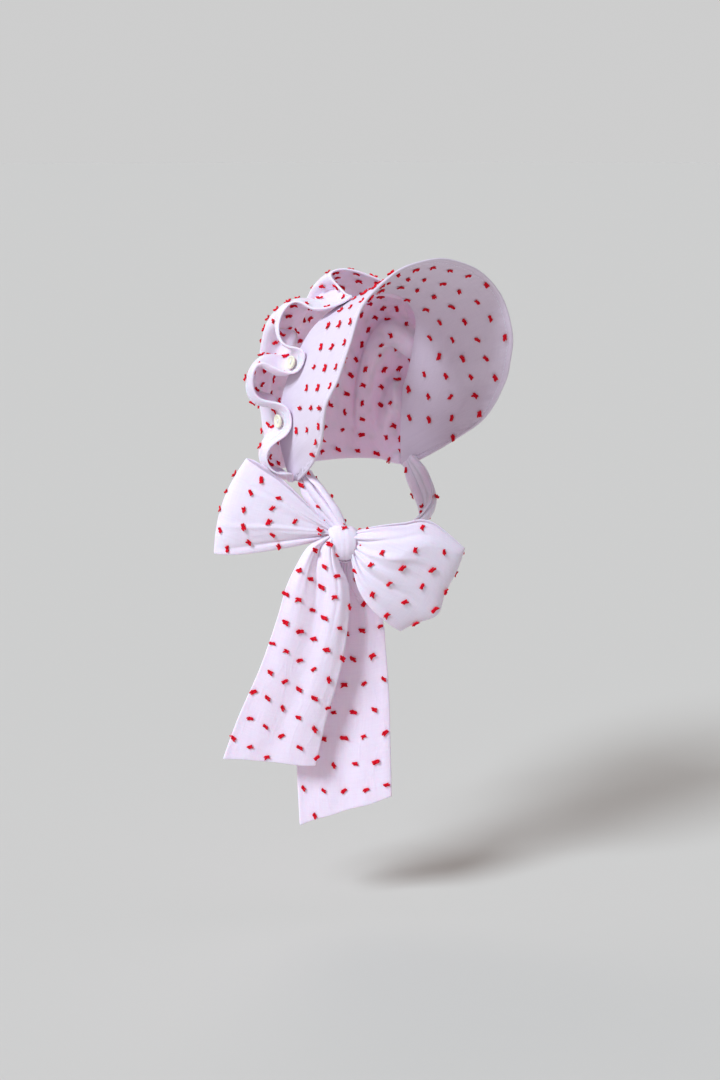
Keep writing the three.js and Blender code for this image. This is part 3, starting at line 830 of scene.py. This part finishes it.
def crown_grid():
    rest = np.linspace(CROWN_EDGE_ROWS[-1], CROWN_DEPTH, CROWN_BACK_ROWS + 1)[1:]
    from_edge = np.concatenate([CROWN_EDGE_ROWS, rest])
    depth_row = from_edge / CROWN_DEPTH
    columns = []
    for number, flute in enumerate(FLUTES):
        steps = FLUTE_STEPS + (1 if number == len(FLUTES) - 1 else 0)
        phase = np.arange(steps) / FLUTE_STEPS
        phases, depths = np.meshgrid(phase, depth_row, indexing="ij")
        columns.append(crown_point(flute, phases.ravel(), depths.ravel()).reshape(phases.shape + (3,)))
    return from_edge, np.concatenate(columns)


crown_from_edge, crown_middle = crown_grid()
crown_across = lengths_along(crown_middle, len(crown_middle) // 2)
crown_places = stacked(crown_across, np.broadcast_to(crown_from_edge, crown_across.shape))
crown_wall = edge_wall(CROWN_CLOTH, crown_from_edge, CROWN_ROLL, CROWN_DIP)
crown = cloth_piece("crown", crown_middle, crown_wall[None, :], crown_places, CROWN_SHADED_COTTON)


# Ties: straps, knot, loops and tails


def bow_to_world(points):
    cos = math.cos(BOW_TURN)
    sin = math.sin(BOW_TURN)
    return points @ np.array([[cos, sin, 0], [-sin, cos, 0], [0, 0, 1]]) + BOW_AT


HEM_EXTRA = 0.4
HEM_REACH = 3


def tie_wall(columns, rows):
    """Ties are a little thicker along their sewn edges."""
    v = np.linspace(0, 1, rows)
    from_edge = np.minimum(v, 1 - v) * TIE_WIDTH
    return np.broadcast_to(TIE_CLOTH + HEM_EXTRA * bump_at(from_edge, 0, HEM_REACH), (columns, rows))


def tie_places(middle):
    along = lengths_along(middle, 0)
    across = lengths_along(np.swapaxes(middle, 0, 1), middle.shape[1] // 2).T
    return stacked(across, along)


def unit_grid(steps, rows):
    return np.meshgrid(np.linspace(0, 1, steps), np.linspace(0, 1, rows), indexing="ij")


TAIL_STEPS = 170
TAIL_ROWS = 64
TAIL_FOLDS = 2
MAX_FOLD = 4
FOLD_EASE = 0.5
FOLD_AT_KNOT = 0.55
FOLD_LOST = 0.35
FOLD_PINCHED = 0.35
FOLD_WANDER = 0.05
CREASE_FADE = 1.3
CREASE_WANDER = 0.04
TURN_CURVE = 1.4
TURN_LOST = 0.5
TAIL_RIPPLE = 0.5
CUT_RIPPLE = 1.2
# How far down a tail, as a share of its length, each of these has set in
PINCH_REACH = 0.05
CREASE_REACH = 0.06
RIPPLE_REACH = 0.1
TURN_REACH = 0.15


def tail_grid(tail):
    """A hanging end: gathered at the knot, with creases that run out below it and one edge turned back."""
    u, v = unit_grid(TAIL_STEPS, TAIL_ROWS)
    drop = mix(tail["sections"][0][0], tail["sections"][-1][0], u)
    low, high, depth = read_columns(tail["sections"], drop)
    space = high - low
    surplus = np.maximum(TIE_WIDTH / space, 1) ** 2 - 1
    height = space / (math.pi * TAIL_FOLDS) * np.sqrt(surplus / 2) * FOLD_EASE
    height = np.minimum(height, MAX_FOLD) * (FOLD_AT_KNOT - FOLD_LOST * u)
    height *= mix(FOLD_PINCHED, 1, ramp(u, PINCH_REACH))
    fold = height * np.cos(2 * math.pi * TAIL_FOLDS * (v + FOLD_WANDER * np.sin(5 * v + 4 * u)))
    for place, width, rise, reach in tail["creases"]:
        fade = np.clip(1 - u / reach, 0, 1) ** CREASE_FADE * ramp(u, CREASE_REACH)
        fold += rise * fade * bump_at(v, place + CREASE_WANDER * np.sin(6 * u + 9 * place), width)
    turned = ramp(v - 1 + tail["turned"], tail["turned"]) ** TURN_CURVE
    fold += tail["turn_back"] * turned * ramp(u, TURN_REACH) * (1 - TURN_LOST * u)
    fold += TAIL_RIPPLE * ripple(v * TIE_WIDTH, drop, tail["seed"]) * ramp(u, RIPPLE_REACH)
    cut = tail["slant"] * (v - 0.5) * u**3
    cut += CUT_RIPPLE * ripple(v * TIE_WIDTH, 0, tail["cut_seed"]) * u**8
    return stacked(low + space * v, depth + fold, cut - drop)


LOOP_STEPS = 150
LOOP_ROWS = 70
RIDGE_CURVE = 1.5
ROOF_ROUND = 0.15
FOOT_SOFT = 0.5
FOOT_CRISP = 0.25
GATHER_WANDER = 0.1
GATHER_AT_KNOT = 0.35
GATHER_FADE = 1.5
LOOP_CREASE_REACH = 0.15
LOOP_RIPPLE = 0.6
LOOP_LENGTH = 170
CORNER_AT = 0.33
CORNER_WIDTH = 0.15


def loop_grid(loop):
    """A loop: out from the knot to its fold and back on u, from its low edge to its high one on v."""
    u, v = unit_grid(LOOP_STEPS, LOOP_ROWS)
    share = np.sin(math.pi * u)
    high_out, high_up, low_out, low_up, depth = read_columns(loop["sections"], share)
    low = stacked(low_out, low_up)
    high = stacked(high_out, high_up)
    ridge = mix(loop["ridge"][0], loop["ridge"][1], share**RIDGE_CURVE)
    climb = np.where(v < ridge, v / ridge, (1 - v) / (1 - ridge))
    soft = np.sin(math.pi / 2 * climb)
    roof = 1 - np.hypot(1 - climb, ROOF_ROUND) + ROOF_ROUND
    swell = mix(soft, roof, loop["crisp"])
    foot = mix(FOOT_SOFT, FOOT_CRISP, loop["crisp"])
    edge = unit(high - low)
    out = np.sign(low[..., :1])
    ahead = stacked(-edge[..., 1], edge[..., 0]) * out
    puff = np.where(u < 0.5, loop["puff"], loop["rear_puff"])
    layer = np.sin(2 * math.pi * u) * puff * mix(foot, 1, swell)
    neck = NECK_SPACE * np.cos(math.pi * u) * (1 - share)
    gather = 0
    for count, start, height in loop["gathers"]:
        gather += height * np.cos(2 * math.pi * (count * v + start + GATHER_WANDER * share))
    gather *= (GATHER_AT_KNOT + share) ** 0.5 * (1 - share) ** GATHER_FADE
    for place, end, width, rise in loop["creases"]:
        line = mix(place, end, share)
        gather += rise * bump_at(v, line, width) * ramp(share, LOOP_CREASE_REACH) * (1 - share**6)
    gather += LOOP_RIPPLE * ripple(v * TIE_WIDTH, u * LOOP_LENGTH, loop["seed"]) * share
    bulge = 4 * loop["round"] * v * (1 - v) + loop["corner"] * bump_at(v, CORNER_AT, CORNER_WIDTH)
    flat = mix(low, high, v[..., None]) - ahead * (bulge * share**3)[..., None]
    behind = np.where(u > 0.5, share**2 * (1 - share**8), 0)
    flat[..., 1] += behind * (loop["rear_rise"] * v**3 + loop["rear_tuck"] * (1 - v) ** 3)
    return stacked(flat[..., 0], depth - layer - neck + gather, flat[..., 1])


CURVE_STEPS = 60


def path_through(points, count):
    """Points at even spacing on a smooth curve through the given ones."""
    given = np.array(points, float)
    ends = np.vstack([2 * given[0] - given[1], given, 2 * given[-1] - given[-2]])
    curve = []
    for k in range(len(given) - 1):
        a, b, c, d = ends[k : k + 4]
        knots = np.cumsum([0] + [np.linalg.norm(q - p) ** 0.5 for p, q in ((a, b), (b, c), (c, d))])
        t = np.linspace(knots[1], knots[2], CURVE_STEPS)[:, None]

        def blend(p, q, start, end):
            return (p * (end - t) + q * (t - start)) / (end - start)

        ab = blend(a, b, knots[0], knots[1])
        bc = blend(b, c, knots[1], knots[2])
        cd = blend(c, d, knots[2], knots[3])
        first = blend(ab, bc, knots[0], knots[2])
        second = blend(bc, cd, knots[1], knots[3])
        curve.append(blend(first, second, knots[1], knots[2]))
    curve = np.vstack(curve)
    along = lengths_along(curve, 0)
    even = np.linspace(0, along[-1], count)
    return stacked(*[np.interp(even, along, curve[:, k]) for k in range(3)])


STRAP_ROWS = 64
STRAP_START_HALF = 9
STRAP_PLEATS = 2.5
STRAP_EASE = 0.5
PLEAT_OVERLAP = 4.8
PLEAT_HEIGHT = 2.9
PLEAT_WANDER = 0.03
PLEAT_UNEVEN = 0.25
STRAP_TUCK = 5
KNOT_GATHER = 0.5
KNOT_GATHER_REACH = 0.35
CORNER_GATHER = 0.42
CORNER_REACH = 9


def strap_grid(strap):
    """A tie drawn together in soft overlapping pleats, tightest at the brim's corner and at the knot."""
    ends = np.array(strap["path"], float)
    tucked = ends[-1] + unit(ends[-1] - ends[-2]) * STRAP_TUCK
    path = path_through(np.vstack([ends, tucked]), strap["steps"])
    way = unit(np.gradient(path, axis=0))
    facing = path - CHIN
    facing = unit(facing - way * np.sum(way * facing, axis=-1, keepdims=True))
    side = np.cross(way, facing)
    u, v = unit_grid(strap["steps"], STRAP_ROWS)
    half = mix(STRAP_START_HALF, strap["end_half"], u) + STRAP_EASE
    turn = 2 * math.pi * STRAP_PLEATS * (v + PLEAT_WANDER * np.sin(4 * u + 7 * v))
    pinch = 1 - KNOT_GATHER * ramp(u - (1 - KNOT_GATHER_REACH), KNOT_GATHER_REACH) ** 2
    from_corner = u * lengths_along(path, 0)[-1]
    drawn = pinch * (1 - CORNER_GATHER * bump_at(from_corner, 0, CORNER_REACH))
    sideways = (half * (2 * v - 1) - PLEAT_OVERLAP * np.sin(turn)) * drawn
    standing = PLEAT_HEIGHT * np.cos(turn) * (1 + PLEAT_UNEVEN * np.sin(9 * v + 3 * u)) * pinch
    return path[:, None] + side[:, None] * sideways[..., None] + facing[:, None] * standing[..., None]


KNOT_STEPS = 120
KNOT_ROWS = 48
KNOT_ROUND = 0.22
KNOT_LEAN = 0.16
KNOT_SWELL = (0.3, -0.1, 0.6)
KNOT_CREASES = 12
KNOT_CREASE = 0.1
KNOT_END_TUCK = 1.2


def knot_grid():
    """The band of cloth wound over the bow's middle, with its folds running round it."""
    round_steps = np.linspace(-math.pi, math.pi, KNOT_STEPS)
    turn, w = np.meshgrid(round_steps, np.linspace(-1, 1, KNOT_ROWS), indexing="ij")
    draw_in = 1 - KNOT_ROUND * np.abs(w) ** 3.5
    lean = w + KNOT_LEAN * np.sin(turn)
    fold = KNOT_SWELL[0] * bump_at(lean, *KNOT_SWELL[1:])
    fold += KNOT_CREASE * np.sin(KNOT_CREASES * lean + 2 * np.sin(turn))
    tuck = KNOT_END_TUCK * (turn / math.pi) ** 8 * np.sign(turn)
    high = (KNOT_HEIGHT / 2 * draw_in + fold + tuck) * np.sin(turn + math.pi / 2)
    deep = -(KNOT_DEPTH / 2 * draw_in + fold + tuck) * np.cos(turn + math.pi / 2)
    rise = high / KNOT_HEIGHT + 0.5
    out = KNOT_WIDTH / 2 * w * mix(KNOT_TAPER, 1, rise) + KNOT_SHIFT * (1 - rise)
    return stacked(out, deep, high)


tie_grids = {name: strap_grid(strap) for name, strap in STRAPS.items()}
tie_grids |= {name: bow_to_world(loop_grid(loop)) for name, loop in LOOPS.items()}
tie_grids |= {name: bow_to_world(tail_grid(tail)) for name, tail in TAILS.items()}
tie_grids["bow_knot"] = bow_to_world(knot_grid())
for name, grid in tie_grids.items():
    cloth_piece(name, grid, tie_wall(*grid.shape[:2]), tie_places(grid), TIE_COTTON)

# Buttons

# A button's section: shares of its radius and of half its thickness, over the rim and down into the dish
BUTTON_RIM = [(0.001, -1), (0.7, -1), (0.9, -0.7), (1, -0.05), (0.98, 0.7), (0.93, 0.95), (0.87, 1)]
BUTTON_RIM += [(0.8, 0.92), (0.73, 0.6), (0.66, 0.36), (0.6, 0.3)]
DISH_LEVEL = 0.28
DISH_RINGS = np.linspace(0.57, 0.001, 20)
BUTTON_SIDES = 72
BUTTON_HOLE = 0.8
HOLE_FROM_MIDDLE = 1.5
HOLE_DEPTH = 1.3
HOLE_SHARP = 1.5
HOLE_EDGE = 0.25
STRAND_SPACE = 0.35
STRAND_RADIUS = 0.2
STRAND_SIDES = 6
# The two holes lie in line across this way
HOLES_ACROSS = (0.0, 1.0, 0.3)


def button_shape():
    """A round button with a raised rim, a dished middle and two sewing holes."""
    radius = BUTTON_DIAMETER / 2
    half = BUTTON_THICKNESS / 2
    section = BUTTON_RIM + [(share, DISH_LEVEL) for share in DISH_RINGS]
    share, level = np.array(section).T[:, :, None]
    angle = np.linspace(0, 2 * math.pi, BUTTON_SIDES, endpoint=False)[None, :]
    x = radius * share * np.cos(angle)
    y = radius * share * np.sin(angle)
    on_top = level > 0
    pit = bump_at(np.hypot(np.abs(x) - HOLE_FROM_MIDDLE, y), 0, BUTTON_HOLE) * on_top
    z = half * level - HOLE_DEPTH * half * np.clip(HOLE_SHARP * pit - HOLE_EDGE, 0, 1) + 0 * angle
    points = stacked(x, y, z).reshape(-1, 3)
    return points, ring_faces(len(section), BUTTON_SIDES)


def button_thread():
    """Three strands of thread over the bar between a button's two holes."""
    top = BUTTON_THICKNESS / 2 * DISH_LEVEL
    strands = []
    for place in (-STRAND_SPACE, 0, STRAND_SPACE):
        bar = [(-1, place, top - 0.9), (-0.9, place, top - 0.1), (-0.4, place * 1.2, top + 0.3)]
        bar += [(-x, y, z) for x, y, z in bar[::-1]]
        path = np.array(bar) * [HOLE_FROM_MIDDLE, 1, 1]
        strands.append(tube(path, STRAND_RADIUS * np.ones(len(bar)), STRAND_SIDES))
    return joined(strands)


button_centres = []
button_points, button_faces = button_shape()
thread_points, thread_faces = button_thread()
for number, place in enumerate(BUTTONED_FLUTES):
    arch = np.array([float(FLUTES[place][0])])
    depth = np.array([BUTTON_FROM_EDGE / CROWN_DEPTH])
    facing = outward(crown_base, arch, depth)[0]
    stand = CAD_CROWN_CLOTH / 2 + BUTTON_LIFT + BUTTON_THICKNESS / 2
    centre = crown_base(arch, depth)[0] + facing * stand
    button_centres.append(centre)
    side = unit(np.cross(HOLES_ACROSS, facing))
    turn = np.array([side, np.cross(facing, side), facing])
    name = f"button_{number + 1}"
    button = new_piece(f"{name}_resin", button_points @ turn + centre, button_faces, RESIN, "button")
    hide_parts(name)
    new_piece(f"{name}_thread", thread_points @ turn + centre, thread_faces, THREAD, "button")

# Clip dots on both faces of the cloth, each face cut on its own grain
# The brim's lining was cut flat as part of a ring, so its rows run straight across that ring.
LINING_RING = 250
ring_reach = LINING_RING - brim_from_edge
ring_turn = brim_across / ring_reach
ring_across = ring_reach * np.sin(ring_turn)
brim_lining_places = stacked(ring_across, LINING_RING - ring_reach * np.cos(ring_turn))
brim_from_back = brim_from_edge.max(axis=1)[:, None] - brim_from_edge
brim_lap = mix(LAP_AT_TOP, LAP_AT_JAW, np.abs(brim_arch - 1))
# Dots keep this clear of a seam or a lap, and off the crown's lining where it lies on the brim
SEAM_CLEAR = 3
LINING_CLEAR = 30
LINING_LIFTED = 0.3

on_open_brim = brim_from_back > brim_lap[:, None] + SEAM_CLEAR
off_back_edge = brim_from_back > SEAM_CLEAR
from_buttons = np.linalg.norm(crown_middle[:, :, None] - np.array(button_centres), axis=-1).min(axis=-1)
off_buttons = from_buttons > (BUTTON_DIAMETER + TUFT_LENGTH) / 2
crown_lifted = np.sin(math.pi * (np.arange(len(crown_middle)) % FLUTE_STEPS) / FLUTE_STEPS) ** 2
off_brim = (crown_from_edge > LINING_CLEAR) | (crown_lifted[:, None] > LINING_LIFTED)

# First dot, dot gap, first row and row gap, and for a tie its rows' lean and curve and its dots' turn
HOOD_DOT_SEED = 11
TIE_DOT_SEED = 20
DOT_COLUMNS = ("dot", "dot_gap", "row", "row_gap", "lean", "curve", "turn")
brim_half = BRIM_CLOTH / 2
crown_half = CROWN_CLOTH / 2
HOOD_DOTS = {
    "brim_dots_outer": (brim_middle, brim_places, brim_half, 1, (-4.5, 16.2, 6.8, 20.4), on_open_brim),
    "brim_dots_inner": (brim_middle, brim_lining_places, brim_half, -1, (-3.7, 18, -8, 18.5), off_back_edge),
    "crown_dots_outer": (crown_middle, crown_places, crown_half, 1, (0, 17, 9.5, 19), off_buttons),
    "crown_dots_inner": (crown_middle, crown_places, crown_half, -1, (6, 17, 12, 19), off_brim),
}
trims = {name: [] for name in ("brim", "crown", *tie_grids)}
for number, (name, (middle, places, half, side, brick, keep)) in enumerate(HOOD_DOTS.items()):
    lattice = dict(zip(DOT_COLUMNS, brick))
    dots = dots_on(name, middle, places, half, side, lattice, HOOD_DOT_SEED + number, keep)
    trims[name.split("_")[0]].append(dots)

# Rows lean across a tie that isn't cut square to its fold. Each tie has its own first dot and row.
TIE_DOTS = {
    "strap_right": (2, 16, 6, 20, 0, 0, 0),
    "strap_left": (2, 16, 6, 20, 0, 0, 0),
    "bow_loop_rear": (2.2, 14.1, 29, 18.9, 0.05, -0.006, 0),
    "bow_loop_front": (13, 16.9, 22, 20.5, 0.25, 0, 0),
    "bow_tail_rear": (-3, 14.5, 18.7, 19.6, 0.3, 0.005, 0.4),
    "bow_tail_front": (0, 16, 21, 20.3, 0, 0, 0),
    "bow_knot": (1.5, 16, 29, 40, 0, 0, 0.3),
}
for name, grid in tie_grids.items():
    lattice = dict(zip(DOT_COLUMNS, TIE_DOTS[name]), least=LEAST_TIE_DOT_SPACE)
    places = tie_places(grid)
    if name.startswith(("bow_loop", "bow_tail")):
        places[..., 0] = np.linspace(-0.5, 0.5, grid.shape[1]) * np.ptp(places[..., 0], axis=1).max()
    places[..., 1] -= lattice["lean"] * places[..., 0] + lattice["curve"] * places[..., 0] ** 2
    faces = {"rear": -1} if name == "bow_knot" else {"front": 1, "rear": -1}
    for face, side in faces.items():
        seed = TIE_DOT_SEED + side
        trims[name].append(dots_on(f"{name}_dots_{face}", grid, places, TIE_CLOTH / 2, side, lattice, seed))

# Stitching along the brim's and the crown's front edges


def edge_line(middle, wall, from_edge, distance, side):
    normal = grid_normals(middle) * side
    row = int(np.argmin(np.abs(from_edge - distance)))
    half = np.broadcast_to(wall, middle.shape[:2])[:, row] / 2
    return middle[:, row] + normal[:, row] * half[:, None], normal[:, row]


brim_edge = brim_from_edge[BRIM_ARCH_STEPS // 2]
brim_lines = [edge_line(brim_middle, brim_wall, brim_edge, STITCH_FROM_EDGE, side) for side in (1, -1)]
trims["brim"].append(stitches_on("brim_stitches", brim_lines))
crown_lines = [edge_line(crown_middle, crown_wall, crown_from_edge, CROWN_STITCH, side) for side in (1, -1)]
trims["crown"].append(stitches_on("crown_stitches", crown_lines))

# Floor, light and camera

FLOOR_Z = -470
FLOOR_REACH = 80000
floor_square = np.array([(-1, -1, 0), (1, -1, 0), (1, 1, 0), (-1, 1, 0)]) * FLOOR_REACH
floor_mesh = bpy.data.meshes.new("floor")
floor_mesh.from_pydata((floor_square + [0, 0, FLOOR_Z]) * METRE, [], [(0, 1, 2, 3)])
# Painted studio floor, even and matt
floor_paint, paint_tree, paint_shader = new_material("pale_studio_floor")
paint_looks = {"Base Color": linear("#CFCAC6"), "Roughness": 0.9, "Specular IOR Level": 0.0}
set_inputs(paint_tree, paint_shader, paint_looks)
floor_mesh.materials.append(floor_paint)
new_object("floor", floor_mesh)

level = math.cos(VIEW_ELEVATION)
back = np.array([math.sin(VIEW_AZIMUTH) * level, -math.cos(VIEW_AZIMUTH) * level, math.sin(VIEW_ELEVATION)])
right = np.array([math.cos(VIEW_AZIMUTH), math.sin(VIEW_AZIMUTH), 0])
up = np.array([0.0, 0.0, 1.0])


def aim(obj, place):
    """Put a light or the camera at a place, turned to the view's middle."""
    obj.location = Vector(place * METRE)
    obj.rotation_mode = "QUATERNION"
    obj.rotation_quaternion = Vector((VIEW_TARGET - place) * METRE).to_track_quat("-Z", "Y")


# Soft lights: places towards the camera, to the right and up, then strength, spread in degrees and colour
LIGHTS = {
    "key_light": (1450, -1350, 1450, 3.2, 20, "#E8F6FF"),
    "back_light": (-1400, -700, 1500, 0.8, 60, "#FFF4F0"),
}
for name, (near, aside, above, strength, spread, colour) in LIGHTS.items():
    data = bpy.data.lights.new(name, "SUN")
    data.energy = strength
    data.angle = math.radians(spread)
    data.color = linear(colour)[:3]
    aim(new_object(name, data), VIEW_TARGET + back * near + right * aside + up * above)

# Pale walls all round, and a darker ceiling
WALL_GLOW = 0.62
CEILING_GLOW = 0.22
WALL_TOP = 0.05
CEILING_FROM = 0.7
world = bpy.data.worlds.new("studio")
world.use_nodes = True
bpy.context.scene.world = world
tree = world.node_tree
direction = add_node(tree, "TexCoord", {}, {})
axes = add_node(tree, "SeparateXYZ", {}, {"Vector": direction.outputs["Generated"]})
shade = {"From Min": WALL_TOP, "From Max": CEILING_FROM, "To Min": WALL_GLOW, "To Max": CEILING_GLOW}
shade["Value"] = axes.outputs["Z"]
glow = add_node(tree, "MapRange", SMOOTH, shade)
set_inputs(tree, tree.nodes["Background"], {"Color": linear("#FEFEFE"), "Strength": glow})
bpy.context.scene.view_settings.view_transform = "Standard"

camera_data = bpy.data.cameras.new("camera")
camera_data.lens = LENS
camera_data.sensor_width = SENSOR
camera = new_object("camera", camera_data)
aim(camera, VIEW_TARGET + back * VIEW_DISTANCE)
bpy.context.scene.camera = camera
